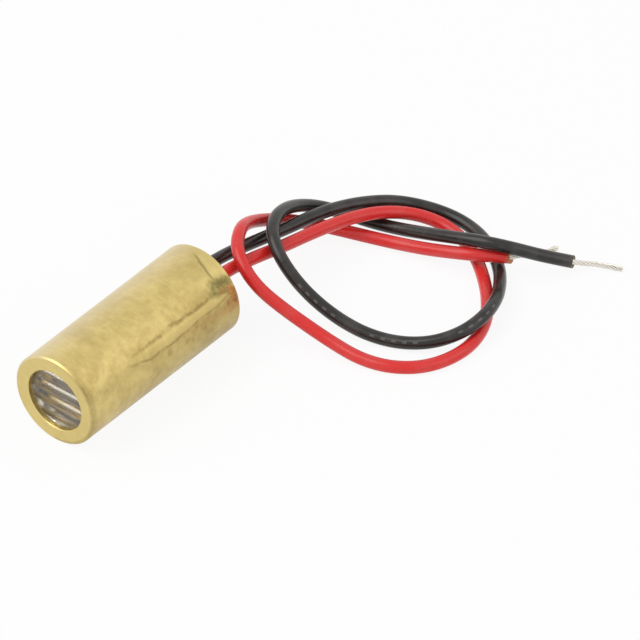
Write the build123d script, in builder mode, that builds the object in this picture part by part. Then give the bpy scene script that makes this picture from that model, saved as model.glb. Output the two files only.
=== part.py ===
from build123d import *
import os
from math import cos, pi, radians, sin, sqrt, tan

os.makedirs("parts", exist_ok=True)

# Laser diode module: a turned brass barrel with a line lens in front, a laser diode and its driver board
# inside, and two leads potted into the rear end.
# The barrel lies on its side on the floor z = 0, with its axis along Y. The aperture looks along -Y.
# Depths are measured back from the front face, heights and sideways places from the barrel's axis.

# Barrel
barrel_diameter = 9.0
barrel_wall = 0.9
lip_width = 0.55
lip_thickness = 0.5
barrel_edge_chamfer = 0.15
aperture_edge_chamfer = 0.06
bore_mouth_chamfer = 0.2

# Line lens: a clear disc behind the lip, with round grooves that run across the beam
lens_clearance = 0.05
lens_thickness = 1.3
groove_pitch = 1.37
groove_land = 0.1
groove_depth = 0.18
groove_count = 5

# Spacer ring between the line lens and the collimator's holder
spacer_length = 0.6
spacer_wall = 0.85

# Collimator: a biconvex lens in a slotted brass holder, which the focus spring pushes forwards
holder_clearance = 0.05
holder_wall = 1.25
holder_length = 2.4
holder_lip = 0.5
holder_slot_width = 0.8
holder_slot_depth = 0.4
collimator_opening_wall = 0.4
collimator_edge = 0.8
collimator_bulge = 0.35
collimator_clearance = 0.02
spring_length = 2.0
spring_wire = 0.3
spring_turns = 3.5
spring_seat_gap = 0.02

# Laser diode in its can, and the brass ring that carries it
mount_length = 2.4
flange_diameter = 5.6
flange_thickness = 1.2
flange_clearance = 0.02
flange_notch = 0.4
flange_notch_count = 3
brim_diameter = 4.4
brim_clearance = 0.1
cap_diameter = 3.55
cap_height = 2.3
cap_wall = 0.15
window_opening = 1.6
window_overlap = 0.5
window_thickness = 0.25
post_width = 0.9
post_thickness = 0.8
post_height = 1.3
submount_width = 0.7
submount_thickness = 0.25
submount_length = 0.85
chip_width = 0.3
chip_thickness = 0.12
chip_length = 0.3
monitor_width = 0.8
monitor_thickness = 0.2
pin_circle = 2.0
pin_angle = 30
pin_diameter = 0.45
pin_reach_in_can = 0.5
pin_reach_on_board = 1.9
seal_wall = 0.17

# Driver board and what is soldered to it
board_gap = 0.7
board_length = 8.0
board_thickness = 0.8
board_edge_gap = 0.06
board_corner = 0.6
pin_to_board_gap = 0.075
pin_solder_radius = 0.65
pin_solder_place = 1.2
transistor_width = 2.9
transistor_depth = 1.3
transistor_height = 0.9
transistor_standoff = 0.1
transistor_offset = 1.2
transistor_draft = 7
transistor_leg_width = 0.4
transistor_leg_thickness = 0.12
transistor_leg_reach = 0.55
transistor_leg_pitch = 1.9
chip_part_length = 1.6
chip_part_width = 0.8
chip_part_pitch = 1.3
resistor_height = 0.45
resistor_offset = 1.3
capacitor_height = 0.8

# Leads and the potting that holds them
lead_diameter = 1.2
lead_spacing = 1.8
lead_lift = 0.2
lead_inner_reach = 0.4
lead_exit_run = 0.4
lead_clearance = 0.03
core_diameter = 0.5
core_length = 1.2
core_tip = 0.4
lead_solder_radius = 0.7
lead_solder_taper = 14
lead_solder_cover = 0.2
potting_length = 1.9
potting_recess = 0.4
potting_dish = 0.25
strand_straight = 0.8
bend_share = 0.45

# Radii
bore_radius = barrel_diameter / 2 - barrel_wall
aperture_radius = bore_radius - lip_width
collimator_radius = bore_radius - holder_clearance - holder_wall
flange_radius = flange_diameter / 2
brim_radius = brim_diameter / 2
cap_radius = cap_diameter / 2
pin_radius = pin_diameter / 2
lead_radius = lead_diameter / 2
core_radius = core_diameter / 2

# Depths, stacked up from the front face. The barrel is as long as the stack that it holds.
lens_back = lip_thickness + lens_thickness
spacer_back = lens_back + spacer_length
holder_back = spacer_back + holder_length
mount_front = holder_back + spring_length
mount_back = mount_front + mount_length
flange_front = mount_back - flange_thickness
board_front = mount_back + board_gap
potting_front = board_front + board_length
potting_back = potting_front + potting_length
barrel_length = potting_back + potting_recess
pin_end = board_front + pin_reach_on_board
lead_start = potting_front - lead_inner_reach
core_start = lead_start - core_length

# Places of the diode's pins, the board's faces and the leads
axis_height = barrel_diameter / 2
front_y = -barrel_length / 2
top_pin_x = pin_circle / 2 * cos(radians(pin_angle))
top_pin_z = pin_circle / 2 * sin(radians(pin_angle))
low_pin_z = -pin_circle / 2
board_top = top_pin_z - pin_radius - pin_to_board_gap
board_bottom = board_top - board_thickness
lead_x = lead_spacing / 2
lead_z = board_top + lead_lift + lead_radius

# The barrel's axis, and a plane through it whose x is the depth and whose y is the height over the axis
barrel_axis = Axis((0, front_y, axis_height), (0, 1, 0))
turning_plane = Plane(origin=(0, front_y, axis_height), x_dir=(0, 1, 0), z_dir=(1, 0, 0))


def front_view(depth):
    """Plane across the barrel at a depth, seen from the front. A negative extrusion goes to the rear."""
    return Plane(origin=(0, front_y + depth, axis_height), x_dir=(1, 0, 0), z_dir=(0, -1, 0))


def top_view(height):
    """Plane along the barrel at a height over its axis, x sideways and y the depth."""
    return Plane(origin=(0, front_y, axis_height + height), x_dir=(1, 0, 0), z_dir=(0, 0, 1))


# The barrel: one turned tube with an inner lip round the aperture
with BuildPart() as barrel:
    with BuildSketch(turning_plane):
        with BuildLine():
            Polyline(
                (0, aperture_radius + aperture_edge_chamfer),
                (0, axis_height - barrel_edge_chamfer),
                (barrel_edge_chamfer, axis_height),
                (barrel_length - barrel_edge_chamfer, axis_height),
                (barrel_length, axis_height - barrel_edge_chamfer),
                (barrel_length, bore_radius + bore_mouth_chamfer),
                (barrel_length - bore_mouth_chamfer, bore_radius),
                (lip_thickness, bore_radius),
                (lip_thickness, aperture_radius),
                (aperture_edge_chamfer, aperture_radius),
                close=True,
            )
        make_face()
    revolve(axis=barrel_axis)
barrel.part.label = "barrel"
export_step(barrel.part, "parts/barrel.step")

# The line lens: a disc with round grooves across its front. The lands between them seat on the lip.
lens_radius = bore_radius - lens_clearance
groove_half_width = (groove_pitch - groove_land) / 2
lowest_groove = -(groove_count - 1) / 2 * groove_pitch
with BuildPart() as line_lens:
    with BuildSketch(front_view(lip_thickness)):
        Circle(lens_radius)
    extrude(amount=-lens_thickness)
    with BuildSketch(turning_plane):
        for groove in range(groove_count):
            groove_middle = lowest_groove + groove * groove_pitch
            with BuildLine():
                groove_arc = ThreePointArc(
                    (lip_thickness, groove_middle - groove_half_width),
                    (lip_thickness + groove_depth, groove_middle),
                    (lip_thickness, groove_middle + groove_half_width),
                )
                Line(groove_arc @ 1, groove_arc @ 0)
            make_face()
    extrude(amount=lens_radius, both=True, mode=Mode.SUBTRACT)
line_lens.part.label = "line_lens"
export_step(line_lens.part, "parts/line_lens.step")

# The spacer ring behind the line lens
with BuildPart() as lens_spacer:
    with BuildSketch(front_view(lens_back)):
        Circle(lens_radius)
        Circle(lens_radius - spacer_wall, mode=Mode.SUBTRACT)
    extrude(amount=-spacer_length)
lens_spacer.part.label = "lens_spacer"
export_step(lens_spacer.part, "parts/lens_spacer.step")

# The collimator's holder: a stepped ring with a slot across its front for the setting tool
collimator_opening = collimator_radius - collimator_opening_wall
with BuildPart() as collimator_holder:
    with BuildSketch(front_view(spacer_back)):
        Circle(bore_radius - holder_clearance)
        Circle(collimator_opening, mode=Mode.SUBTRACT)
    extrude(amount=-holder_length)
    with BuildSketch(front_view(spacer_back + holder_lip)):
        Circle(collimator_radius)
    extrude(amount=holder_lip - holder_length, mode=Mode.SUBTRACT)
    with BuildSketch(front_view(spacer_back)):
        Rectangle(2 * bore_radius, holder_slot_width)
    extrude(amount=-holder_slot_depth, mode=Mode.SUBTRACT)
collimator_holder.part.label = "collimator_holder"
export_step(collimator_holder.part, "parts/collimator_holder.step")

# The collimator lens: biconvex, with a straight edge that seats on the holder's lip
collimator_front = spacer_back + holder_lip
collimator_back = collimator_front + collimator_edge
collimator_rim = collimator_radius - collimator_clearance
front_dome_rim = collimator_opening - collimator_clearance
with BuildPart() as collimator_lens:
    with BuildSketch(turning_plane):
        with BuildLine():
            front_dome = TangentArc(
                (collimator_front - collimator_bulge, 0),
                (collimator_front, front_dome_rim),
                tangent=(0, 1),
            )
            rear_dome = TangentArc(
                (collimator_back + collimator_bulge, 0),
                (collimator_back, collimator_rim),
                tangent=(0, 1),
            )
            Polyline(front_dome @ 1, (collimator_front, collimator_rim), rear_dome @ 1)
            Line(rear_dome @ 0, front_dome @ 0)
        make_face()
    revolve(axis=barrel_axis)
collimator_lens.part.label = "collimator_lens"
export_step(collimator_lens.part, "parts/collimator_lens.step")

# The focus spring: a square wire helix between the holder and the diode's mount
brim_hole_radius = brim_radius + brim_clearance
spring_radius = (brim_hole_radius + bore_radius - holder_clearance) / 2
spring_rise = spring_length - spring_wire - 2 * spring_seat_gap
spring_start = holder_back + spring_seat_gap + spring_wire / 2
with BuildPart() as focus_spring:
    with BuildLine() as spring_path:
        Helix(
            pitch=spring_rise / spring_turns,
            height=spring_rise,
            radius=spring_radius,
            center=(0, front_y + spring_start, axis_height),
            direction=(0, 1, 0),
        )
    with BuildSketch(Plane(origin=spring_path.line @ 0, x_dir=(0, 1, 0), z_dir=spring_path.line % 0)):
        Rectangle(spring_wire, spring_wire)
    sweep(is_frenet=True)
focus_spring.part.label = "focus_spring"
export_step(focus_spring.part, "parts/focus_spring.step")

# The diode's mount: a ring pressed into the bore, with a counterbore for the diode's flange
with BuildPart() as diode_mount:
    with BuildSketch(front_view(mount_front)):
        Circle(bore_radius)
        Circle(brim_hole_radius, mode=Mode.SUBTRACT)
    extrude(amount=-mount_length)
    with BuildSketch(front_view(flange_front)):
        Circle(flange_radius + flange_clearance)
    extrude(amount=-flange_thickness, mode=Mode.SUBTRACT)
diode_mount.part.label = "diode_mount"
export_step(diode_mount.part, "parts/diode_mount.step")

# The diode's header: a flange with key notches and two seal holes, and its heat sink post in front.
# The laser chip's lower face lies on the barrel's axis.
top_pin_places = [(top_pin_x, top_pin_z), (-top_pin_x, top_pin_z)]
seal_radius = pin_radius + seal_wall
post_low = chip_thickness + submount_thickness
with BuildPart() as diode_header:
    with BuildSketch(front_view(flange_front)):
        Circle(flange_radius)
        with PolarLocations(flange_radius, flange_notch_count, angular_range=180, endpoint=True):
            Rectangle(flange_notch, flange_notch, mode=Mode.SUBTRACT)
        with Locations(*top_pin_places):
            Circle(seal_radius, mode=Mode.SUBTRACT)
    extrude(amount=-flange_thickness)
    with BuildSketch(front_view(flange_front)):
        with Locations((0, post_low + post_thickness / 2)):
            Rectangle(post_width, post_thickness)
    extrude(amount=post_height)
diode_header.part.label = "diode_header"
export_step(diode_header.part, "parts/diode_header.step")

# The submount on the post's flat
post_front = flange_front - post_height
with BuildPart() as chip_submount:
    with BuildSketch(front_view(post_front)):
        with Locations((0, chip_thickness + submount_thickness / 2)):
            Rectangle(submount_width, submount_thickness)
    extrude(amount=-submount_length)
chip_submount.part.label = "chip_submount"
export_step(chip_submount.part, "parts/chip_submount.step")

# The laser chip under the submount
with BuildPart() as laser_chip:
    with BuildSketch(front_view(post_front)):
        with Locations((0, chip_thickness / 2)):
            Rectangle(chip_width, chip_thickness)
    extrude(amount=-chip_length)
laser_chip.part.label = "laser_chip"
export_step(laser_chip.part, "parts/laser_chip.step")

# The monitor photodiode on the flange, behind the laser chip
with BuildPart() as monitor_photodiode:
    with BuildSketch(front_view(flange_front)):
        with Locations((0, -monitor_width / 2)):
            Rectangle(monitor_width, monitor_width)
    extrude(amount=monitor_thickness)
monitor_photodiode.part.label = "monitor_photodiode"
export_step(monitor_photodiode.part, "parts/monitor_photodiode.step")

# The diode's cap: a drawn cup with a brim and a round opening
cap_front = flange_front - cap_height
with BuildPart() as diode_cap:
    with BuildSketch(turning_plane):
        with BuildLine():
            Polyline(
                (cap_front, window_opening / 2),
                (cap_front, cap_radius),
                (flange_front - cap_wall, cap_radius),
                (flange_front - cap_wall, brim_radius),
                (flange_front, brim_radius),
                (flange_front, cap_radius - cap_wall),
                (cap_front + cap_wall, cap_radius - cap_wall),
                (cap_front + cap_wall, window_opening / 2),
                close=True,
            )
        make_face()
    revolve(axis=barrel_axis)
diode_cap.part.label = "diode_cap"
export_step(diode_cap.part, "parts/diode_cap.step")

# The window behind the cap's opening
with BuildPart() as diode_window:
    with BuildSketch(front_view(cap_front + cap_wall)):
        Circle(window_opening / 2 + window_overlap)
    extrude(amount=-window_thickness)
diode_window.part.label = "diode_window"
export_step(diode_window.part, "parts/diode_window.step")

# The diode's pins: two pass through the flange in glass seals, the low one is welded to its back
pin_tip = flange_front - pin_reach_in_can
with BuildPart() as diode_pins:
    with BuildSketch(front_view(pin_tip)):
        with Locations(*top_pin_places):
            Circle(pin_radius)
    extrude(amount=pin_tip - pin_end)
    with BuildSketch(front_view(mount_back)):
        with Locations((0, low_pin_z)):
            Circle(pin_radius)
    extrude(amount=mount_back - pin_end)
diode_pins.part.label = "diode_pins"
export_step(diode_pins.part, "parts/diode_pins.step")

# The glass seals round the two upper pins
with BuildPart() as pin_seals:
    with BuildSketch(front_view(flange_front)):
        with Locations(*top_pin_places):
            Circle(seal_radius)
            Circle(pin_radius, mode=Mode.SUBTRACT)
    extrude(amount=-flange_thickness)
pin_seals.part.label = "pin_seals"
export_step(pin_seals.part, "parts/pin_seals.step")

# The driver board: it lies between the diode's pins, its edges run in the bore and its end meets the potting
board_reach = max(abs(board_top), abs(board_bottom))
board_half_width = sqrt(bore_radius**2 - board_reach**2) - board_edge_gap
with BuildPart() as driver_board:
    with BuildSketch(top_view(board_bottom)):
        with Locations((0, board_front + board_length / 2)):
            board_outline = Rectangle(2 * board_half_width, board_length)
        chamfer(board_outline.vertices().group_by(Axis.Y)[0], board_corner)
    extrude(amount=board_thickness)
driver_board.part.label = "driver_board"
export_step(driver_board.part, "parts/driver_board.step")

# Solder domes round the diode's pins, two on top of the board and one below
pin_solder_depth = board_front + pin_solder_place
pin_solder_y = front_y + pin_solder_depth
with BuildPart() as diode_solder:
    with Locations(
        (top_pin_x, pin_solder_y, axis_height + board_top),
        (-top_pin_x, pin_solder_y, axis_height + board_top),
    ):
        Sphere(pin_solder_radius, arc_size1=0, align=(Align.CENTER, Align.CENTER, Align.MIN))
    with Locations((0, pin_solder_y, axis_height + board_bottom)):
        Sphere(pin_solder_radius, arc_size2=0, align=(Align.CENTER, Align.CENTER, Align.MAX))
    with BuildSketch(front_view(pin_solder_depth - pin_solder_radius)):
        with Locations(*top_pin_places, (0, low_pin_z)):
            Circle(pin_radius)
    extrude(amount=-2 * pin_solder_radius, mode=Mode.SUBTRACT)
diode_solder.part.label = "diode_solder"
export_step(diode_solder.part, "parts/diode_solder.step")

# The transistor: a moulded body with sloping sides, halfway between the diode's pins and the leads' solder
mound_depth = core_start + core_tip
parts_row = (pin_end + mound_depth - lead_solder_radius) / 2
transistor_x = -transistor_offset
with BuildPart() as driver_transistor:
    with BuildSketch(top_view(board_top + transistor_standoff)):
        with Locations((transistor_x, parts_row)):
            Rectangle(transistor_width, transistor_depth)
    extrude(amount=transistor_height, taper=transistor_draft)
driver_transistor.part.label = "driver_transistor"
export_step(driver_transistor.part, "parts/driver_transistor.step")

# The transistor's legs: two in front and one behind, bent down to stand on the board
leg_shoulder = board_top + transistor_standoff + transistor_height / 2
leg_underside = leg_shoulder - transistor_leg_thickness
leg_rise_on_side = transistor_height / 2 - transistor_leg_thickness
leg_root = transistor_depth / 2 - leg_rise_on_side * tan(radians(transistor_draft))
leg_bend = leg_root + transistor_leg_reach / 2
leg_toe = leg_root + transistor_leg_reach
front_legs = (-1, -transistor_leg_pitch / 2), (-1, transistor_leg_pitch / 2)
rear_leg = (1, 0)
with BuildPart() as transistor_legs:
    for side, place in (*front_legs, rear_leg):
        leg_plane = Plane(
            origin=(transistor_x + place, front_y + parts_row, axis_height),
            x_dir=(0, side, 0),
            z_dir=(side, 0, 0),
        )
        with BuildSketch(leg_plane):
            with BuildLine():
                Polyline(
                    (leg_root, leg_shoulder),
                    (leg_bend, leg_shoulder),
                    (leg_bend, board_top + transistor_leg_thickness),
                    (leg_toe, board_top + transistor_leg_thickness),
                    (leg_toe, board_top),
                    (leg_bend - transistor_leg_thickness, board_top),
                    (leg_bend - transistor_leg_thickness, leg_underside),
                    (leg_root, leg_underside),
                    close=True,
                )
            make_face()
        extrude(amount=transistor_leg_width / 2, both=True)
transistor_legs.part.label = "transistor_legs"
export_step(transistor_legs.part, "parts/transistor_legs.step")

# Chip resistors: one beside the transistor, and the outer two of the row below the board
inner_place = chip_part_pitch / 2
outer_place = inner_place + chip_part_pitch
with BuildPart() as chip_resistors:
    with BuildSketch(top_view(board_top)):
        with Locations((resistor_offset, parts_row)):
            Rectangle(chip_part_width, chip_part_length)
    extrude(amount=resistor_height)
    with BuildSketch(top_view(board_bottom)):
        with Locations((outer_place, parts_row), (-outer_place, parts_row)):
            Rectangle(chip_part_width, chip_part_length)
    extrude(amount=-resistor_height)
chip_resistors.part.label = "chip_resistors"
export_step(chip_resistors.part, "parts/chip_resistors.step")

# Chip capacitors: the inner two of the row below the board
with BuildPart() as chip_capacitors:
    with BuildSketch(top_view(board_bottom)):
        with Locations((inner_place, parts_row), (-inner_place, parts_row)):
            Rectangle(chip_part_width, chip_part_length)
    extrude(amount=-capacitor_height)
chip_capacitors.part.label = "chip_capacitors"
export_step(chip_capacitors.part, "parts/chip_capacitors.step")

# The solder mounds that hold the leads' stripped inner ends on the board
lead_places = [(lead_x, lead_z), (-lead_x, lead_z)]
mound_height = lead_z - board_top + core_radius + lead_solder_cover
with BuildPart() as lead_solder:
    with BuildSketch(top_view(board_top)):
        with Locations((lead_x, mound_depth), (-lead_x, mound_depth)):
            Circle(lead_solder_radius)
    extrude(amount=mound_height, taper=lead_solder_taper)
    with BuildSketch(front_view(core_start)):
        with Locations(*lead_places):
            Circle(core_radius)
    extrude(amount=-core_length, mode=Mode.SUBTRACT)
lead_solder.part.label = "lead_solder"
export_step(lead_solder.part, "parts/lead_solder.step")

# The rear potting: a plug with a dished back and two bores for the leads
with BuildPart() as rear_potting:
    with BuildSketch(turning_plane):
        with BuildLine():
            dish = TangentArc((potting_back - potting_dish, 0), (potting_back, bore_radius), tangent=(0, 1))
            Polyline(dish @ 1, (potting_front, bore_radius), (potting_front, 0), dish @ 0)
        make_face()
    revolve(axis=barrel_axis)
    with BuildSketch(front_view(potting_front)):
        with Locations(*lead_places):
            Circle(lead_radius + lead_clearance)
    extrude(amount=-potting_length, mode=Mode.SUBTRACT)
rear_potting.part.label = "rear_potting"
export_step(rear_potting.part, "parts/rear_potting.step")

# The leads' routes. Each lead starts over the board, comes straight out of the potting, falls to the floor,
# makes one loose loop over its own first stretch and ends a little past the loop.
lead_inner_y = front_y + lead_start
lead_exit_y = front_y + potting_back + lead_exit_run
lead_height = axis_height + lead_z
black_route = [
    (-lead_x, lead_inner_y, lead_height), (-lead_x, lead_exit_y, lead_height), (-1.0, 13.2, 5.2),
    (-0.8, 16.3, 4.7), (-0.4, 19.3, 4.2), (0.1, 22.3, 3.8), (0.5, 25.2, 3.5), (1.1, 28.0, 3.0),
    (2.1, 30.7, 2.4), (3.5, 33.0, 1.8), (5.6, 34.8, 1.1), (8.2, 35.7, 0.7), (10.9, 35.5, 0.6),
    (13.5, 34.4, 0.6), (15.9, 32.6, 0.6), (17.8, 30.3, 1.1), (19.4, 27.7, 1.9), (20.2, 25.0, 2.2),
    (19.7, 22.5, 1.7), (18.0, 20.4, 1.0), (15.5, 18.9, 0.6), (12.7, 17.8, 0.8), (9.9, 17.2, 1.5),
    (7.2, 16.9, 2.6), (4.9, 16.9, 3.9), (2.8, 17.3, 5.3), (1.1, 18.5, 6.0), (-0.2, 20.5, 5.9),
    (-1.0, 22.9, 5.0), (-1.3, 25.3, 3.7), (-0.8, 27.5, 2.4), (0.6, 29.1, 1.4), (2.8, 30.2, 0.8),
    (5.4, 30.9, 0.9), (8.4, 31.1, 1.8), (11.4, 31.3, 2.8), (14.5, 31.8, 3.6), (17.0, 33.1, 3.3),
    (19.0, 35.0, 2.2), (20.7, 37.1, 1.1),
]
red_route = [
    (lead_x, lead_inner_y, lead_height), (lead_x, lead_exit_y, lead_height), (0.8, 13.0, 5.2),
    (1.1, 16.1, 4.7), (1.6, 19.2, 4.2), (2.0, 22.3, 3.8), (2.5, 25.3, 3.4), (3.1, 28.2, 2.9),
    (4.1, 30.9, 2.2), (5.8, 33.0, 1.5), (8.0, 34.1, 0.9), (10.5, 33.9, 0.6), (13.0, 32.7, 0.6),
    (15.4, 30.9, 0.6), (17.7, 28.7, 0.6), (19.6, 26.1, 0.6), (20.6, 23.1, 0.6), (20.4, 20.2, 0.6),
    (19.2, 17.6, 0.6), (17.0, 15.8, 0.6), (14.3, 14.9, 0.7), (11.4, 14.6, 1.2), (8.6, 14.2, 2.1),
    (6.2, 13.6, 3.3), (4.1, 13.1, 4.6), (2.3, 13.2, 5.9), (0.5, 14.3, 6.7), (-0.8, 16.3, 6.8),
    (-1.7, 18.4, 5.8), (-2.0, 20.7, 4.5), (-1.7, 23.1, 3.2), (-0.6, 25.2, 2.1), (1.2, 26.9, 1.3),
    (3.6, 28.3, 0.8), (6.4, 29.4, 0.7), (9.4, 30.0, 1.2), (12.2, 30.4, 2.0), (14.8, 31.4, 2.4),
    (16.5, 33.4, 1.8),
]
black_strand_tail = [(22.3, 38.8, 0.6), (24.2, 39.9, 0.3)]
red_strand_tail = [(17.5, 35.3, 0.95), (17.6, 37.0, 0.4), (17.8, 38.6, 0.3)]


def bend_radii(route):
    """Largest radius that each corner's two runs leave room for."""
    corners = [Vector(point) for point in route]
    radii = []
    for before, corner, after in zip(corners, corners[1:], corners[2:]):
        turn = (corner - before).get_angle(after - corner)
        shorter_run = min((corner - before).length, (after - corner).length)
        radii.append(bend_share * shorter_run / tan(radians(turn / 2)))
    return radii


# Each lead is its insulation, the strands that stand out of its far end and its stripped inner end
for colour, place, route, tail in (
    ("black", -lead_x, black_route, black_strand_tail),
    ("red", lead_x, red_route, red_strand_tail),
):
    with BuildPart() as lead:
        with BuildLine() as lead_path:
            FilletPolyline(*route, radius=bend_radii(route))
        with BuildSketch(Plane(origin=lead_path.line @ 0, z_dir=lead_path.line % 0)):
            Circle(lead_radius)
        sweep()
    lead.part.label = colour + "_lead"
    export_step(lead.part, "parts/" + colour + "_lead.step")

    end_point = Vector(route[-1])
    end_direction = (end_point - Vector(route[-2])).normalized()
    strand_route = [end_point, end_point + end_direction * strand_straight]
    strand_route += [Vector(point) for point in tail]
    with BuildPart() as strands:
        with BuildLine() as strand_path:
            FilletPolyline(*strand_route, radius=bend_radii(strand_route))
        with BuildSketch(Plane(origin=strand_path.line @ 0, z_dir=strand_path.line % 0)):
            Circle(core_radius)
        sweep()
    strands.part.label = colour + "_strands"
    export_step(strands.part, "parts/" + colour + "_strands.step")

    with BuildPart() as lead_core:
        with BuildSketch(front_view(core_start)):
            with Locations((place, lead_z)):
                Circle(core_radius)
        extrude(amount=-core_length)
    lead_core.part.label = colour + "_lead_core"
    export_step(lead_core.part, "parts/" + colour + "_lead_core.step")

    lead_length = lead_path.wire().length
    volume_share = lead.part.volume / (pi * lead_radius**2 * lead_length)
    print(colour, "lead", round(lead_length, 1), "mm long")
    print("  volume over section times length", round(volume_share, 4))
    print("  lead radii", [round(radius, 1) for radius in bend_radii(route)])
    print("  strand radii", [round(radius, 1) for radius in bend_radii(strand_route)])
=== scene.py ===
import math

import bpy
from bpy.props import FloatProperty, FloatVectorProperty, IntProperty, PointerProperty
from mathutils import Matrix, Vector


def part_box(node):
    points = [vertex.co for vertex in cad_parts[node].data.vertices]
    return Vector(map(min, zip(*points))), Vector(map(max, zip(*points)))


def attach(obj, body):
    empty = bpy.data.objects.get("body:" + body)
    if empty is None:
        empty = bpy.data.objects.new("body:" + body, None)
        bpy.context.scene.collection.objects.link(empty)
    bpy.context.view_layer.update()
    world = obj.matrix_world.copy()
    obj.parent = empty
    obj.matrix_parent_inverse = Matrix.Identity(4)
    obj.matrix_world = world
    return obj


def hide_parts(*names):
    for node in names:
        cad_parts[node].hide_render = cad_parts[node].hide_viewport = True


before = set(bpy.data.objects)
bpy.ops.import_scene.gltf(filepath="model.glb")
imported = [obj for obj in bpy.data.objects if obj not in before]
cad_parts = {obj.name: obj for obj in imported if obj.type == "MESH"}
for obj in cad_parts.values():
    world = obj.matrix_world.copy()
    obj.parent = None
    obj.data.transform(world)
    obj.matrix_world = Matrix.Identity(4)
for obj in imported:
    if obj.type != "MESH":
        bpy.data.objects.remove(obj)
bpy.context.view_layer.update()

bl_info = {
    "name": "Laser diode module",
    "version": (1, 0, 0),
    "blender": (4, 5, 0),
    "location": "3D View > Sidebar > Laser module",
    "description": "Dresses the brass laser diode module with its finishes, leads and studio stage",
    "category": "Add Mesh",
}

MM = 0.001
PER_MM = 1000.0
TURN = 2 * math.pi
DEGREES = 180 / math.pi
WHITE = (1.0, 1.0, 1.0, 1.0)

# The barrel's own sizes, read from the packed model, in millimetres
BARREL_LOW, BARREL_HIGH = (corner * PER_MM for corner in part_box("barrel"))
FRONT_Y = BARREL_LOW.y
AXIS_Z = (BARREL_LOW.z + BARREL_HIGH.z) / 2
BARREL_RADIUS = (BARREL_HIGH.z - BARREL_LOW.z) / 2

# Wear, painted highlight and painted shade on the barrel: angles round from the top in degrees, depths from
# the front face in millimetres
DIMMED_HIGHLIGHT_ANGLE = 54.0
SHADE_ANGLE = 12.0
UPPER_MARK_ANGLE = 52.5
LOWER_MARK_ANGLE = 68.0
BLOTCH_ANGLE = 76.0
FILM_DEPTH = 18.4
FILM_ANGLE = 40.0
PATCH_DEPTH = 18.5
PATCH_ANGLE = 48.0
WARM_DEPTH = 20.0
WARM_ANGLE = 63.0

# Print on a lead: softness of a dash's ends in millimetres, and the cosines over which its sides fade
INK_EDGE = 0.08
INK_SIDES = (0.975, 0.99)

# The driver board: sizes of its traces and softness of edges in millimetres, and the share of a chip's
# length from its middle at which its tin starts
TRACE_PITCH = 1.6
TRACE_HALF_WIDTH = 0.3
TRACE_EDGE = 0.06
TIN_EDGE = 0.02
TIN_START = 0.3

# Leads and strands: order and steps of a route, sides of a wire, where along it the splay starts, corners
# of a face in a tube's wall, and the share of a spacing within which a point is on the far ring
ROUTE_ORDER = 3
ROUTE_STEPS = 12
WIRE_SIDES = 10
SPLAY_START = 0.55
WALL_CORNERS = 4
FAR_RING_SHARE = 0.1

# The lens: the bend in radians past which an edge is sharp, and the distance in metres that joins points
CREASE = 0.2
MERGE_DISTANCE = 1e-7

# The stage: widths and distances of the lamps in metres and where they stand, the floor and the camera
KEY_LAMP = {"size": 0.55, "distance": 0.7, "azimuth": math.radians(-38.0), "elevation": math.radians(52.0)}
FILL_LAMP = {"size": 0.6, "distance": 0.75, "azimuth": math.radians(105.0), "elevation": math.radians(35.0)}
FLOOR_REACH = 3.0
FLOOR_TONE = (0.96, 0.96, 0.96, 1.0)
SENSOR_WIDTH = 36.0
CLIP_START = 0.01
CLIP_END = 10.0


def in_metres(points):
    """Points that are given in millimetres."""
    return [tuple(value * MM for value in point) for point in points]


# Routes of the two leads, from inside the potting to the cut end
BLACK_ROUTE = in_metres([
    (-0.9, 7.4, 5.5), (-0.9, 10.1, 5.5), (-1.0, 13.2, 5.2), (-0.8, 16.3, 4.7), (-0.4, 19.3, 4.2),
    (0.1, 22.3, 3.8), (0.5, 25.2, 3.5), (1.1, 28.0, 3.0), (2.1, 30.7, 2.4), (3.5, 33.0, 1.8),
    (5.6, 34.8, 1.1), (8.2, 35.7, 0.7), (10.9, 35.5, 0.6), (13.5, 34.4, 0.6), (15.9, 32.6, 0.6),
    (17.8, 30.3, 1.1), (19.4, 27.7, 1.9), (20.2, 25.0, 2.2), (19.7, 22.5, 1.7), (18.0, 20.4, 1.0),
    (15.5, 18.9, 0.6), (12.7, 17.8, 0.8), (9.9, 17.2, 1.5), (7.2, 16.9, 2.6), (4.9, 16.9, 3.9),
    (2.8, 17.3, 5.3), (1.1, 18.5, 6.0), (-0.2, 20.5, 5.9), (-1.0, 22.9, 5.0), (-1.3, 25.3, 3.7),
    (-0.8, 27.5, 2.4), (0.6, 29.1, 1.4), (2.8, 30.2, 0.8), (5.4, 30.9, 0.9), (8.4, 31.1, 1.8),
    (11.4, 31.3, 2.8), (14.5, 31.8, 3.6), (17.0, 33.1, 3.3), (19.0, 35.0, 2.2), (20.7, 37.1, 1.1),
])
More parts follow.
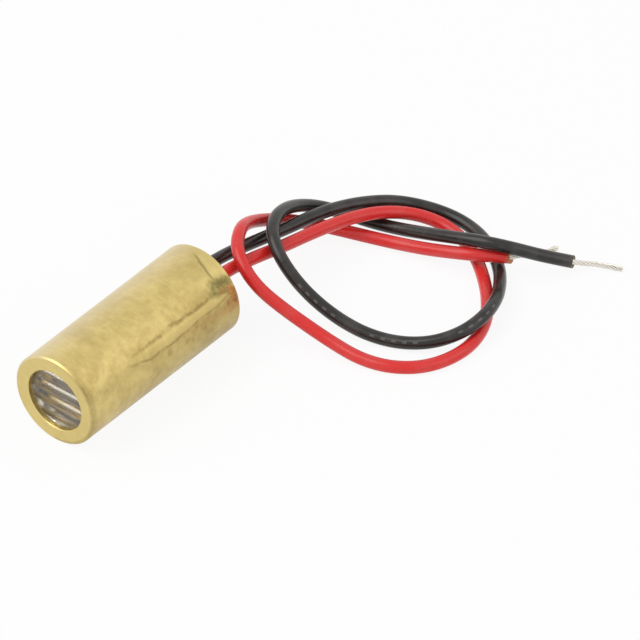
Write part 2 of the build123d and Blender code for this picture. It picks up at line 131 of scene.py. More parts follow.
RED_ROUTE = in_metres([
    (0.9, 7.4, 5.5), (0.9, 10.1, 5.5), (0.8, 13.0, 5.2), (1.1, 16.1, 4.7), (1.6, 19.2, 4.2),
    (2.0, 22.3, 3.8), (2.5, 25.3, 3.4), (3.1, 28.2, 2.9), (4.1, 30.9, 2.2), (5.8, 33.0, 1.5),
    (8.0, 34.1, 0.9), (10.5, 33.9, 0.6), (13.0, 32.7, 0.6), (15.4, 30.9, 0.6), (17.7, 28.7, 0.6),
    (19.6, 26.1, 0.6), (20.6, 23.1, 0.6), (20.4, 20.2, 0.6), (19.2, 17.6, 0.6), (17.0, 15.8, 0.6),
    (14.3, 14.9, 0.7), (11.4, 14.6, 1.2), (8.6, 14.2, 2.1), (6.2, 13.6, 3.3), (4.1, 13.1, 4.6),
    (2.3, 13.2, 5.9), (0.5, 14.3, 6.7), (-0.8, 16.3, 6.8), (-1.7, 18.4, 5.8), (-2.0, 20.7, 4.5),
    (-1.7, 23.1, 3.2), (-0.6, 25.2, 2.1), (1.2, 26.9, 1.3), (3.6, 28.3, 0.8), (6.4, 29.4, 0.7),
    (9.4, 30.0, 1.2), (12.2, 30.4, 2.0), (14.8, 31.4, 2.4), (16.5, 33.4, 1.8),
])

# The bare strands: how far in metres they start inside the lead and run straight on from it, and their tails
STRAND_TUCK = 0.0006
BLACK_STRAIGHT = 0.0008
RED_STRAIGHT = 0.0002
BLACK_TAIL = in_metres([(22.3, 38.8, 0.6), (24.2, 39.9, 0.3)])
RED_TAIL = in_metres([(16.86, 34.02, 1.80), (17.40, 35.42, 1.14), (17.56, 37.05, 0.48), (17.8, 38.6, 0.3)])

# Where each lead leaves the potting, and its length, in metres
BLACK_EXIT = (-0.0009, 0.0095, 0.0055)
RED_EXIT = (0.0009, 0.0095, 0.0055)
BLACK_LENGTH = 0.1100
RED_LENGTH = 0.1066


def tint(red, green, blue):
    """Linear colour of what a screen shows as these values from 0 to 255."""
    shown = (red / 255, green / 255, blue / 255)
    return tuple(v / 12.92 if v <= 0.04045 else ((v + 0.055) / 1.055) ** 2.4 for v in shown) + (1.0,)


class Wire:
    """One socket of a node tree. Arithmetic on it adds Math nodes to the tree."""

    def __init__(self, web, source):
        self.web = web
        self.source = source

    def maths(self, operation, *terms):
        return self.web.add("ShaderNodeMath", {"operation": operation}, dict(enumerate(terms)))

    def __add__(self, other):
        return self.maths("ADD", self, other)

    def __radd__(self, other):
        return self.maths("ADD", other, self)

    def __sub__(self, other):
        return self.maths("SUBTRACT", self, other)

    def __rsub__(self, other):
        return self.maths("SUBTRACT", other, self)

    def __mul__(self, other):
        return self.maths("MULTIPLY", self, other)

    def __rmul__(self, other):
        return self.maths("MULTIPLY", other, self)

    def __truediv__(self, other):
        return self.maths("DIVIDE", self, other)

    def __pow__(self, other):
        return self.maths("POWER", self, other)

    def __abs__(self):
        return self.maths("ABSOLUTE", self)

    def __mod__(self, other):
        return self.maths("FLOORED_MODULO", self, other)

    def sine(self):
        return self.maths("SINE", self)

    def cosine(self):
        return self.maths("COSINE", self)

    def larger(self, other):
        return self.maths("MAXIMUM", self, other)

    def smaller(self, other):
        return self.maths("MINIMUM", self, other)

    def output(self, key):
        """Another output of the node that this socket belongs to."""
        return Wire(self.web, Web.find(self.source.node.outputs, key))


class Web:
    """A node tree under construction."""

    def __init__(self, tree):
        self.tree = tree

    @staticmethod
    def find(sockets, key):
        if isinstance(key, int):
            return sockets[key]
        for socket in sockets:
            if socket.identifier == key:
                return socket
        for socket in sockets:
            if socket.name == key and socket.enabled:
                return socket
        raise KeyError(key)

    def add(self, kind, settings=None, inputs=None, output=0):
        """Adds a node of that kind, sets its settings, fills its sockets and returns an output."""
        node = self.tree.nodes.new(kind)
        for name, value in (settings or {}).items():
            setattr(node, name, value)
        for key, value in (inputs or {}).items():
            socket = self.find(node.inputs, key)
            for single in value if isinstance(value, list) else [value]:
                if isinstance(single, Wire):
                    self.tree.links.new(single.source, socket)
                else:
                    socket.default_value = single
        return Wire(self, self.find(node.outputs, output)) if len(node.outputs) else node

    def vectors(self, operation, *terms, output="Vector"):
        """Vector Math on those terms."""
        return self.add("ShaderNodeVectorMath", {"operation": operation}, dict(enumerate(terms)), output)

    def scaled(self, vector, factor):
        """A vector times a number."""
        return self.add("ShaderNodeVectorMath", {"operation": "SCALE"}, {"Vector": vector, "Scale": factor})

    def combined(self, **parts):
        """A vector from its parts, X, Y and Z."""
        return self.add("ShaderNodeCombineXYZ", None, parts)

    def stored(self, geometry, name, kind, domain, value):
        """Keeps a value on a geometry, under the name by which a finish reads it."""
        return self.add(
            "GeometryNodeStoreNamedAttribute", {"data_type": kind, "domain": domain},
            {"Geometry": geometry, "Name": name, "Value": value},
        )

    def compared(self, kind, operation, first, second):
        """True where the first value stands so to the second."""
        ends = ("A_INT", "B_INT") if kind == "INT" else ("A", "B")
        inputs = dict(zip(ends, (first, second)))
        return self.add("FunctionNodeCompare", {"data_type": kind, "operation": operation}, inputs)

    def swept(self, line, ring):
        """A closed tube with that ring along a line."""
        inputs = {"Curve": line, "Profile Curve": ring, "Fill Caps": True}
        return self.add("GeometryNodeCurveToMesh", None, inputs)

    def ring(self, sides, radius):
        return self.add("GeometryNodeCurvePrimitiveCircle", None, {"Resolution": sides, "Radius": radius})

    def smoothed(self, mesh, where):
        return self.add("GeometryNodeSetShadeSmooth", None, {"Geometry": mesh, "Shade Smooth": where})


class Finish(Web):
    """The node tree of one procedural finish, with lengths in millimetres."""

    def __init__(self, name):
        self.material = bpy.data.materials.new(name)
        self.material.use_nodes = True
        super().__init__(self.material.node_tree)
        self.tree.nodes.clear()
        self.place = self.scaled(self.add("ShaderNodeTexCoord", output="Object"), PER_MM)
        self.x = self.add("ShaderNodeSeparateXYZ", None, {0: self.place}, "X")
        self.y = self.x.output("Y")
        self.z = self.x.output("Z")

    def round_axis(self):
        """Height over the barrel's axis, and distance from it."""
        across = self.z - AXIS_Z
        return across, (self.x * self.x + across * across) ** 0.5

    def noise(self, scale, detail=3.0, rough=0.5, distortion=0.0):
        """Cloudy noise from about 0.2 to 0.8, with that many clouds in a millimetre."""
        inputs = {"Scale": scale, "Detail": detail, "Roughness": rough, "Distortion": distortion}
        inputs["Vector"] = self.place
        return self.add("ShaderNodeTexNoise", None, inputs)

    def lines(self, at, scale, detail=4.0, rough=0.6):
        """Noise along one measure only, as a lathe leaves it."""
        inputs = {"W": at, "Scale": scale, "Detail": detail, "Roughness": rough}
        return self.add("ShaderNodeTexNoise", {"noise_dimensions": "1D"}, inputs)

    def fade(self, value, start, end):
        """0 at start and 1 at end, eased between them."""
        inputs = {"Value": value, "From Min": start, "From Max": end}
        if end < start:
            inputs = {"Value": value, "From Min": end, "From Max": start, "To Min": 1.0, "To Max": 0.0}
        return self.add("ShaderNodeMapRange", {"interpolation_type": "SMOOTHSTEP"}, inputs, "Result")

    def band(self, value, start, full, last, end):
        """1 from full to last, eased to 0 at start and at end."""
        return self.fade(value, start, full) * self.fade(value, end, last)

    def near(self, value, middle, far, close):
        """1 within close of the middle, eased to 0 at far from it."""
        return self.fade(abs(value - middle), far, close)

    def blend(self, first, second, share):
        """The first colour where the share is 0 and the second where it is 1."""
        first, second = (end if isinstance(end, Wire) else tuple(end) for end in (first, second))
        inputs = {"Factor_Float": share, "A_Color": first, "B_Color": second}
        return self.add("ShaderNodeMix", {"data_type": "RGBA"}, inputs, "Result_Color")

    def bump(self, height, depth, strength=1.0):
        """Normal of a surface whose height runs from 0 to 1 over that depth in millimetres."""
        inputs = {"Strength": strength, "Distance": depth * MM, "Height": height}
        return self.add("ShaderNodeBump", None, inputs)

    def attribute(self, name, output="Fac"):
        return self.add("ShaderNodeAttribute", {"attribute_name": name}, None, output)

    def surface(self, **sockets):
        """Ends the tree in a Principled surface and returns the material."""
        named = {key.replace("_", " "): value for key, value in sockets.items()}
        shader = self.add("ShaderNodeBsdfPrincipled", None, named)
        self.add("ShaderNodeOutputMaterial", None, {"Surface": shader})
        return self.material


# Finishes

def tarnished_brass(settings):
    """Turned brass that has been handled: lathe lines, olive tarnish, smears and dark tide marks, with a
    painted highlight and painted shade.
    """
    f = Finish("tarnished_brass")
    across, radius = f.round_axis()
    depth = f.y - FRONT_Y
    angle = f.x.maths("ARCTAN2", f.x, across) * DEGREES
    side = f.fade(radius, BARREL_RADIUS - 0.3, BARREL_RADIUS - 0.1)

    # Broad tarnish, fine mottling, a painted highlight on the upper left, and painted shade: on the lower
    # side with tarnish, over the key lamp's highlight, and near the top at the rear
    clouds = f.noise(0.22, 4.0, 0.55, distortion=0.6)
    mottle = f.noise(1.3, 5.0, 0.62)
    speckle = f.noise(5.0, 3.0, 0.6)
    worn = f.fade(clouds * 0.6 + mottle * 0.4, 0.36, 0.66)
    # Painted highlight: the upper left flank is lightened to the pale colour
    highlighted = f.band(angle, -130.0, -85.0, -50.0, 14.0)
    # Painted shade on the lower side, mixed with tarnish that grows towards the rear
    tarnish_and_shade = f.band(angle, 50.0, 95.0, 130.0, 170.0) * f.fade(depth, -7.0, 18.0)
    # Painted shade that dims the key lamp's highlight band along the barrel
    dimmed_highlight = f.near(angle, DIMMED_HIGHLIGHT_ANGLE, 26.0, 6.0) * (0.14 + mottle * 0.3)
    # Painted shade near the top by the rear edge
    shaded = f.near(angle, SHADE_ANGLE, 24.0, 4.0) * f.fade(depth, 14.0, 19.0) * 0.2
    colour = f.blend(settings.clean, settings.tarnish, worn * (0.25 + side * 0.45))
    for tone, share in (
        (settings.pale, highlighted * 0.8),
        (settings.stain, tarnish_and_shade * (0.18 + clouds * 0.36)),
        (settings.stain, dimmed_highlight + shaded),
        (settings.stain, f.fade(speckle, 0.6, 0.76) * 0.2),
    ):
        colour = f.blend(colour, tone, share * side)

    # Two thin wavy tide marks along the barrel, the bright smear between them and the blotches below
    ragged = (mottle - 0.5) * 5.0 + (speckle - 0.5) * 4.0
    soft = f.noise(0.9, 2.0, 0.5)
    upper_middle = UPPER_MARK_ANGLE + (f.lines(depth, 0.3, 1.0) - 0.5) * 11.0
    upper_middle = upper_middle + f.fade(depth, 16.0, 20.0) * 9.0
    lower_middle = LOWER_MARK_ANGLE + (f.lines(depth + 60.0, 0.3, 1.0) - 0.5) * 9.0
    lower_middle = lower_middle - f.fade(depth, 8.5, 5.0) * 9.0 - f.fade(depth, 14.0, 20.0) * 4.0
    strength = 0.15 + f.fade(f.noise(0.8, 3.0, 0.6), 0.38, 0.6) * 0.85
    upper = f.near(angle + ragged, upper_middle, 4.2, 0.0) * strength * f.fade(depth, 5.4, 8.0)
    lower = f.near(angle - ragged * 0.5, lower_middle, 2.8, 0.0) * f.fade(depth, 4.4, 7.0)
    lower = lower * (0.3 + strength * 0.6)
    smear = f.band(angle, 53.0, 57.0, 64.0, 70.0) * f.fade(depth, 6.0, 10.0)
    colour = f.blend(colour, settings.clean, smear * 0.4)
    blotch = f.near(angle, BLOTCH_ANGLE, 14.0, 2.0) * f.fade(depth, 7.0, 12.0)
    blotch = blotch * f.fade(soft + ragged * 0.02, 0.46, 0.7)
    marks = upper.larger(lower).larger(blotch * 0.6)
    colour = f.blend(colour, settings.stain, marks * side * 0.54)

    # By the rear edge a grey-green patch, the edge of its film, the bright band behind it and a warm stain
    film_edge = depth - FILM_DEPTH - ((FILM_ANGLE - angle) * 0.022) ** 2 + (mottle - 0.5) * 0.3
    film = f.band(angle, -6.0, 8.0, 38.0, 48.0) * side
    colour = f.blend(colour, settings.clean, f.fade(film_edge, 0.05, 0.3) * film * 0.6)
    colour = f.blend(colour, settings.verdigris, f.fade(abs(film_edge), 0.22, 0.0) * film * 0.6)
    reach = ((depth - PATCH_DEPTH) * 0.7) ** 2 + ((angle - PATCH_ANGLE) * 0.07) ** 2
    reach = reach + (f.noise(0.8, 2.0, 0.5) - 0.5) * 3.0
    patch = f.fade(reach, 1.5, -0.1) * (0.5 + f.fade(mottle, 0.3, 0.62) * 0.5)
    colour = f.blend(colour, settings.verdigris, patch * (0.72 + speckle * 0.5) * side)
    flow = ((depth - WARM_DEPTH) * 0.62) ** 2 + ((angle - WARM_ANGLE) * 0.075) ** 2
    warm = f.fade(flow + (soft - 0.5) * 5.0 + (mottle - 0.5) * 3.0, 1.5, -0.4)
    colour = f.blend(colour, settings.copper, warm * side * 0.95)

    # A painted dark reflection on the front chamfer and just behind it, on the lower side
    chamfer_shade = f.fade(depth, 0.85, 0.3) * f.fade(radius, BARREL_RADIUS - 0.5, BARREL_RADIUS - 0.2)
    colour = f.blend(colour, settings.stain, chamfer_shade * f.fade(angle, 0.0, 60.0) * (0.12 + mottle * 0.28))

    # Lathe lines, on the side along the depth and on the faces along the radius. The bore is smooth and dull.
    bore = f.fade(radius, BARREL_RADIUS - 0.5, BARREL_RADIUS - 0.8) * f.fade(depth, 0.25, 0.5)
    turned = f.lines(depth + radius, 7.0, 5.0, 0.7)
    coarse = f.lines(depth + radius + (mottle - 0.5) * 0.05, 1.6, 3.0, 0.5)
    grooved = f.fade(turned * 0.6 + coarse * 0.4, 0.5, 0.68)
    # The lathe lines are fainter under the painted highlight
    colour = f.blend(colour, settings.tarnish, grooved * (0.28 - highlighted * 0.14) * (1 - bore))
    height = (turned * 0.5 + mottle * 0.25 + speckle * 0.15 - marks * 0.2) * (1 - bore)
    rough = settings.roughness + worn * 0.08 + marks * 0.15 + patch * 0.1
    rough = rough + (turned - 0.5) * 0.1 + bore * 0.2
    return f.surface(Base_Color=colour, Metallic=1.0, Roughness=rough, Normal=f.bump(height, 0.006, 0.6))


def clear_lens(settings):
    """Clear moulded plastic with a trace of flow in it."""
    f = Finish("clear_lens")
    flow = f.noise(0.8, 3.0, 0.5)
    colour = f.blend(settings.tint, WHITE, flow)
    rough = settings.roughness + f.fade(f.noise(6.0, 2.0), 0.55, 0.8) * 0.03
    return f.surface(
        Base_Color=colour, Roughness=rough, IOR=settings.ior, Transmission_Weight=settings.clarity,
        Alpha=settings.bent_share, Normal=f.bump(flow, 0.002, 0.4),
    )


def lead_insulation(name, colour, core, settings, printed):
    """Extruded soft plastic with a faint orange peel, its cut face, and on one lead a row of plain dashes."""
    f = Finish(name)
    along = f.attribute("along") * PER_MM
    left = f.attribute("left") * PER_MM
    around = f.attribute("around", "Vector")
    cut = f.attribute("cut")
    peel = f.noise(3.2, 4.0, 0.55)
    dust = f.noise(0.45, 4.0, 0.6)
    dull = f.blend(colour, settings.bloom, settings.bloom_share)
    paint = f.blend(colour, dull, f.fade(dust, 0.4, 0.68))
    if printed:
        print_side = (math.cos(settings.print_angle), math.sin(settings.print_angle), 0.0)
        facing = f.vectors("DOT_PRODUCT", around, print_side, output="Value")
        printing = f.fade(facing, *INK_SIDES)
        for start, end in (
            (along % (settings.dash_pitch * PER_MM), settings.dash_length * PER_MM),
            (along % (settings.group_pitch * PER_MM), settings.group_length * PER_MM),
            (along - settings.print_start * PER_MM, (settings.print_end - settings.print_start) * PER_MM),
        ):
            printing = printing * f.fade(start, 0.0, INK_EDGE) * f.fade(start, end, end - INK_EDGE)
        paint = f.blend(paint, settings.ink, printing * settings.ink_share)
    tone = f.blend(core, colour, f.fade(f.noise(4.0, 3.0), 0.45, 0.7) * 0.5)
    paint = f.blend(paint, tone, f.fade(left + (peel - 0.5) * 0.4, 0.75, 0.2) * 0.75)
    paint = f.blend(paint, tone, cut)
    rough = settings.roughness + (dust - 0.5) * 0.16 + cut * 0.3
    return f.surface(
        Base_Color=paint, Roughness=rough, Specular_IOR_Level=settings.gloss,
        Normal=f.bump(peel + dust, 0.012, 0.35),
    )


def worked(name, tone, deep, grain, rough, metallic=0.0, depth=0.003, turned=False, **constants):
    """A worked surface inside the module: two tones in its own grain, with uneven gloss and a fine relief."""
    f = Finish(name)
    fine = f.noise(grain, 4.0, 0.6)
    broad = f.noise(grain * 0.2, 3.0, 0.5)
    if turned:
        radius = f.round_axis()[1]
        fine = fine * 0.4 + f.lines(f.y + radius, 6.0, 4.0) * 0.6
    colour = f.blend(tone, deep, f.fade(fine * 0.6 + broad * 0.4, 0.36, 0.66))
    return f.surface(
        Base_Color=colour, Metallic=metallic, Roughness=rough + (broad - 0.5) * 0.2,
        Normal=f.bump(fine, depth, 0.5), **constants,
    )


def board_laminate():
    """Green solder mask over woven glass, with pale traces under it."""
    f = Finish("board_laminate")
    inputs = {"Vector": f.place, "Scale": 1.4, "Distortion": 0.4}
    weave, weft = (
        f.add("ShaderNodeTexWave", {"bands_direction": way}, inputs, "Fac") for way in ("X", "Y")
    )
    cloth = weave * 0.5 + weft * 0.5
    trace = f.near(f.x % TRACE_PITCH, TRACE_PITCH / 2, TRACE_HALF_WIDTH, TRACE_HALF_WIDTH - TRACE_EDGE)
    trace = trace * f.fade(f.noise(0.5, 1.0), 0.48, 0.5)
    mask = f.blend(tint(18, 92, 48), tint(30, 118, 62), cloth)
    mask = f.blend(mask, tint(64, 148, 84), trace * 0.7)
    relief = f.bump(cloth * 0.3 + trace, 0.02, 0.4)
    return f.surface(Base_Color=mask, Roughness=0.34 + cloth * 0.1, Normal=relief)


def chip_ceramic(name, body, deep, middle, tin_start):
    """A fired chip whose ends are tinned past a distance from its middle along the barrel."""
    f = Finish(name)
    metal = f.fade(abs(f.y - middle), tin_start - TIN_EDGE, tin_start + TIN_EDGE)
    grain = f.noise(9.0, 4.0, 0.6)
    colour = f.blend(f.blend(body, deep, f.fade(grain, 0.4, 0.7)), tint(206, 204, 198), metal)
    rough = 0.4 + (grain - 0.5) * 0.2
    return f.surface(Base_Color=colour, Metallic=metal, Roughness=rough, Normal=f.bump(grain, 0.004))


def twisted_tin(settings):
    """Tinned copper wire: pale and bright, with warm copper where the tin is thin."""
    f = Finish("tinned_copper")
    drawn = f.noise(2.6, 4.0, 0.6)
    colour = f.blend(settings.tin, settings.copper, f.fade(drawn, 0.5, 0.72) * 0.5)
    rough = 0.3 + drawn * 0.12
    return f.surface(Base_Color=colour, Metallic=1.0, Roughness=rough, Normal=f.bump(drawn, 0.004, 0.4))


# Geometry trees

def new_tree(name, sockets):
    """A geometry tree with those named inputs, its first nodes and the sockets by name."""
    tree = bpy.data.node_groups.new(name, "GeometryNodeTree")
    tree.interface.new_socket("Geometry", in_out="INPUT", socket_type="NodeSocketGeometry")
    tree.interface.new_socket("Geometry", in_out="OUTPUT", socket_type="NodeSocketGeometry")
    for label, kind in sockets.items():
        tree.interface.new_socket(label, in_out="INPUT", socket_type="NodeSocket" + kind)
    web = Web(tree)
    source = web.add("NodeGroupInput")
    return web, {label: source.output(label) for label in ("Geometry", *sockets)}


def close_tree(web, mesh, material):
    """Realizes what the tree made, gives it its material and ends the tree."""
    real = web.add("GeometryNodeRealizeInstances", None, {"Geometry": mesh})
    painted = web.add("GeometryNodeSetMaterial", None, {"Geometry": real, "Material": material})
    web.add("NodeGroupOutput", None, {0: painted})
    return web.tree


def even_line(web, given):
    """The route that a tree is given, with points at even distances."""
    inputs = {"Curve": given["Geometry"], "Length": given["Spacing"]}
    return web.add("GeometryNodeResampleCurve", {"mode": "LENGTH"}, inputs)


def insulation_tree():
    """A tube along a lead's route, measured along and around, with marked cut faces and a slanted far end."""
    sizes = {
        "Radius": "Float", "Spacing": "Float", "Sides": "Int", "End": "Vector", "Ahead": "Vector",
        "Cut Back": "Vector", "Slope": "Float", "Material": "Material",
    }
    web, given = new_tree("lead_insulation", sizes)
    line = even_line(web, given)
    reached = web.add("GeometryNodeSplineParameter", output="Length")
    whole = web.add("GeometryNodeSplineLength")
    for label, measure in (("along", reached), ("left", whole - reached)):
        line = web.stored(line, label, "FLOAT", "POINT", measure)
    share = web.add("GeometryNodeSplineParameter", output="Factor") * TURN
    facing = web.combined(X=share.cosine(), Y=share.sine())
    ring = web.stored(web.ring(given["Sides"], given["Radius"]), "around", "FLOAT_VECTOR", "POINT", facing)
    tube = web.swept(line, ring)

    # The far ring is slid along the lead, by more the farther a point is to the side that is cut back
    from_end = web.vectors("SUBTRACT", web.add("GeometryNodeInputPosition"), given["End"])
    nearer = web.vectors("DOT_PRODUCT", from_end, given["Cut Back"], output="Value")
    slanted = web.scaled(given["Ahead"], nearer * given["Slope"] * -1.0)
    left = web.add("GeometryNodeInputNamedAttribute", {"data_type": "FLOAT"}, {"Name": "left"}, "Attribute")
    far_ring = web.compared("FLOAT", "LESS_THAN", left, given["Spacing"] * FAR_RING_SHARE)
    moved = {"Geometry": tube, "Selection": far_ring, "Offset": slanted}
    tube = web.add("GeometryNodeSetPosition", None, moved)

    corners = web.add("GeometryNodeCornersOfFace", output="Total")
    cap = web.compared("INT", "GREATER_THAN", corners, WALL_CORNERS)
    tube = web.stored(tube, "cut", "FLOAT", "FACE", cap)
    tube = web.smoothed(tube, web.add("FunctionNodeBooleanMath", {"operation": "NOT"}, {0: cap}))
    return close_tree(web, tube, given["Material"])


def strand_tree():
    """Fine wires twisted round a middle one along a route, with uneven, slightly splayed ends."""
    sizes = {
        "Wires": "Int", "Wire Radius": "Float", "Lay Radius": "Float", "Twist": "Float", "Splay": "Float",
        "Ends": "Float", "Spacing": "Float", "Seed": "Int", "Material": "Material",
    }
    web, given = new_tree("twisted_strands", sizes)
    line = even_line(web, given)
    copies = {"Geometry": line, "Amount": given["Wires"]}
    many = web.add("GeometryNodeDuplicateElements", {"domain": "SPLINE"}, copies)
    which = many.output("Duplicate Index")
    share = web.add("GeometryNodeSplineParameter", output="Factor")
    reached = share.output("Length")
    angle = which * TURN / given["Wires"] + reached * given["Twist"] * TURN
    draw = web.add(
        "FunctionNodeRandomValue", {"data_type": "FLOAT"},
        {"Min_001": 0.0, "Max_001": 1.0, "ID": which, "Seed": given["Seed"]}, "Value_001",
    )
    opened = web.add(
        "ShaderNodeMapRange", {"interpolation_type": "SMOOTHSTEP"},
        {"Value": share, "From Min": SPLAY_START, "From Max": 1.0},
    )
    reach = given["Lay Radius"] * (1 + opened * given["Splay"] * draw)
    normal = web.add("GeometryNodeInputNormal")
    beside = web.vectors("CROSS_PRODUCT", web.add("GeometryNodeInputTangent"), normal)
    up = web.scaled(normal, angle.cosine() * reach)
    out = web.scaled(beside, angle.sine() * reach)
    laid = {"Geometry": many, "Offset": web.vectors("ADD", up, out)}
    wires = web.add("GeometryNodeSetPosition", None, laid)
    kept = {"Curve": wires, "Start": 0.0, "End": 1 - draw * given["Ends"]}
    wires = web.add("GeometryNodeTrimCurve", {"mode": "FACTOR"}, kept)
    bundle = web.add("GeometryNodeJoinGeometry", None, {"Geometry": [wires, line]})
    mesh = web.swept(bundle, web.ring(WIRE_SIDES, given["Wire Radius"]))
    corners = web.add("GeometryNodeCornersOfFace", output="Total")
    mesh = web.smoothed(mesh, web.compared("INT", "LESS_EQUAL", corners, WALL_CORNERS))
    return close_tree(web, mesh, given["Material"])


def lens_tree():
    """A disc across the barrel's axis, with an odd number of round grooves and smooth crests between them."""
    sizes = {
        "Radius": "Float", "Thickness": "Float", "Front": "Float", "Height": "Float", "Grooves": "Int",
        "Pitch": "Float", "Depth": "Float", "Rows": "Int", "Columns": "Int", "Material": "Material",
    }
    web, given = new_tree("grooved_lens", sizes)

    # The front: a square sheet that is drawn out to a disc and sunk in waves
    sheet = web.add(
        "GeometryNodeMeshGrid", None,
        {"Size X": 2.0, "Size Y": 2.0, "Vertices X": given["Columns"], "Vertices Y": given["Rows"]},
    )
    place = web.add("GeometryNodeInputPosition")
    across = web.add("ShaderNodeSeparateXYZ", None, {0: place}, "X")
    sweep = across.output("Y") * (math.pi / 2)
    up = given["Radius"] * sweep.sine()
    half_chord = given["Radius"] * sweep.cosine()
    half_grooved = given["Pitch"] * given["Grooves"] * 0.5
    limits = {"Value": up, "Min": half_grooved * -1.0, "Max": half_grooved}
    grooved = web.add("ShaderNodeClamp", None, limits)
    wave = (grooved / given["Pitch"] * TURN).cosine()
    sunk = given["Depth"] * (wave * 0.5 + 0.5)
    spot = web.combined(X=across * half_chord, Y=given["Front"] + sunk, Z=given["Height"] + up)
    front = web.add("GeometryNodeSetPosition", None, {"Geometry": sheet, "Position": spot})

    # The back and the rim: the front drawn out to a plane, and turned so that its faces point outwards
    drawn = {"Mesh": front, "Offset Scale": 0.0, "Individual": False}
    body = web.add("GeometryNodeExtrudeMesh", {"mode": "FACES"}, drawn)
    where = web.add("ShaderNodeSeparateXYZ", None, {0: place}, "X")
    flat = web.combined(X=where, Y=given["Front"] + given["Thickness"], Z=where.output("Z"))
    moved = {"Geometry": body, "Selection": body.output("Top"), "Position": flat}
    back = web.add("GeometryNodeSetPosition", None, moved)
    back = web.add("GeometryNodeFlipFaces", None, {"Mesh": back})
    disc = web.add("GeometryNodeJoinGeometry", None, {"Geometry": [front, back]})
    disc = web.add("GeometryNodeMergeByDistance", None, {"Geometry": disc, "Distance": MERGE_DISTANCE})

    disc = web.smoothed(disc, True)
    bend = web.add("GeometryNodeInputMeshEdgeAngle", output="Unsigned Angle")
    sharp = {"Geometry": disc, "Selection": web.compared("FLOAT", "GREATER_THAN", bend, CREASE)}
    sharp["Shade Smooth"] = False
    disc = web.add("GeometryNodeSetShadeSmooth", {"domain": "EDGE"}, sharp)
    return close_tree(web, disc, given["Material"])


def route_line(name, points):
    """A smooth line with those points as its control points."""
    curve = bpy.data.curves.new(name, "CURVE")
    curve.dimensions = "3D"
    spline = curve.splines.new("NURBS")
    spline.points.add(len(points) - 1)
    for control, point in zip(spline.points, points):
        control.co = (*point, 1.0)
    spline.order_u = ROUTE_ORDER
    spline.use_endpoint_u = True
    spline.resolution_u = ROUTE_STEPS
    line = bpy.data.objects.new(name, curve)
    bpy.context.scene.collection.objects.link(line)
    return line


def grown(name, carrier, tree, values):
    """The plain mesh piece that a tree makes on a carrier, which is then removed."""
    modifier = carrier.modifiers.new(tree.name, "NODES")
    modifier.node_group = tree
    sockets = {item.name: item.identifier for item in tree.interface.items_tree if item.in_out == "INPUT"}
    for label, value in values.items():
        modifier[sockets[label]] = value
    carrier.update_tag()
    graph = bpy.context.evaluated_depsgraph_get()
    mesh = bpy.data.meshes.new_from_object(
        carrier.evaluated_get(graph), preserve_all_data_layers=True, depsgraph=graph
    )
    bpy.data.objects.remove(carrier)
    if not mesh.polygons:
        raise RuntimeError(name + ": its tree made no faces")
    mesh.name = name
    piece = bpy.data.objects.new(name, mesh)
    bpy.context.scene.collection.objects.link(piece)
    return piece


def route_points(line):
    """The points that a route's line passes through."""
    graph = bpy.context.evaluated_depsgraph_get()
    wire = bpy.data.meshes.new_from_object(line.evaluated_get(graph))
    path = [vertex.co.copy() for vertex in wire.vertices]
    bpy.data.meshes.remove(wire)
    return path


def stand_in(piece, node, slot):
    """Puts a finished piece in the place of a CAD node."""
    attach(piece, "root")
    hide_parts(node)


def paint(material, *nodes):
    """Gives CAD nodes a finish."""
    for node in nodes:
        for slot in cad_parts[node].material_slots:
            slot.material = material


def aim(thing, target, azimuth, elevation, distance):
    """Stands a lamp or a camera at that azimuth from the front and that elevation, turned to the target."""
    level = math.cos(elevation)
    away = Vector((math.sin(azimuth) * level, -math.cos(azimuth) * level, math.sin(elevation)))
    thing.location = target + away * distance
    thing.rotation_euler = away.to_track_quat("Z", "Y").to_euler()
    bpy.context.scene.collection.objects.link(thing)


# Settings

def colour_value(name, description, default):
    return FloatVectorProperty(
        name=name, description=description, subtype="COLOR", size=4, min=0, max=1, default=default
    )


def length_value(name, description, default):
    return FloatProperty(name=name, description=description, default=default, unit="LENGTH", precision=5)


def share_value(name, description, default):
    return FloatProperty(
        name=name, description=description, default=default, min=0, max=1, subtype="FACTOR"
    )


def angle_value(name, description, degrees):
    return FloatProperty(
        name=name, description=description, default=math.radians(degrees), subtype="ANGLE"
    )


def power_value(name, description, default):
    return FloatProperty(name=name, description=description, default=default, unit="POWER")


class BarrelSettings(bpy.types.PropertyGroup):
    """Finish of the brass barrel"""

    clean: colour_value("Clean brass", "Colour where the brass is bright", tint(221, 200, 131))
    tarnish: colour_value("Tarnish", "Colour of the olive tarnish", tint(184, 161, 101))
    # The pale colour paints the highlight on the upper left side
    pale: colour_value("Pale side", "Colour of the rubbed upper side", tint(226, 210, 172))
    # The stain colour also paints the shade on the lower side, over the key lamp's highlight, near the top at
    # the rear and on the front chamfer
    stain: colour_value("Stain", "Colour of the tide marks and smudges", tint(116, 94, 52))
    verdigris: colour_value("Patch", "Colour of the green-grey patch", tint(120, 110, 66))
    copper: colour_value("Warm stain", "Colour of the stain at the rear edge", tint(164, 102, 54))
    roughness: share_value("Roughness", "Roughness of the clean brass", 0.34)


class LensSettings(bpy.types.PropertyGroup):
    """Grooves and finish of the line lens"""

    grooves: IntProperty(name="Grooves", description="Odd number of grooves", default=5, min=1, step=2)
    pitch: length_value("Pitch", "From one groove to the next", 0.00137)
    depth: length_value("Depth", "Depth of a groove", 0.00018)
    gap: length_value("Gap", "Clearance behind the lens", 0.00001)
    rows: IntProperty(name="Rows", description="Rows of points over the disc", default=1201, min=101)
    columns: IntProperty(name="Columns", description="Points along a row", default=5, min=2)
    tint: colour_value("Tint", "Colour of the clear plastic", tint(247, 230, 194))
    clarity: share_value("Clarity", "Share of the light that passes through unscattered", 0.96)
    bent_share: share_value("Bent share", "Share of the light that is bent; the rest passes straight", 0.89)
    ior: FloatProperty(name="Refraction", description="Index of refraction", default=1.585, min=1.0, max=2.5)
    roughness: share_value("Roughness", "Roughness of the moulded face", 0.05)


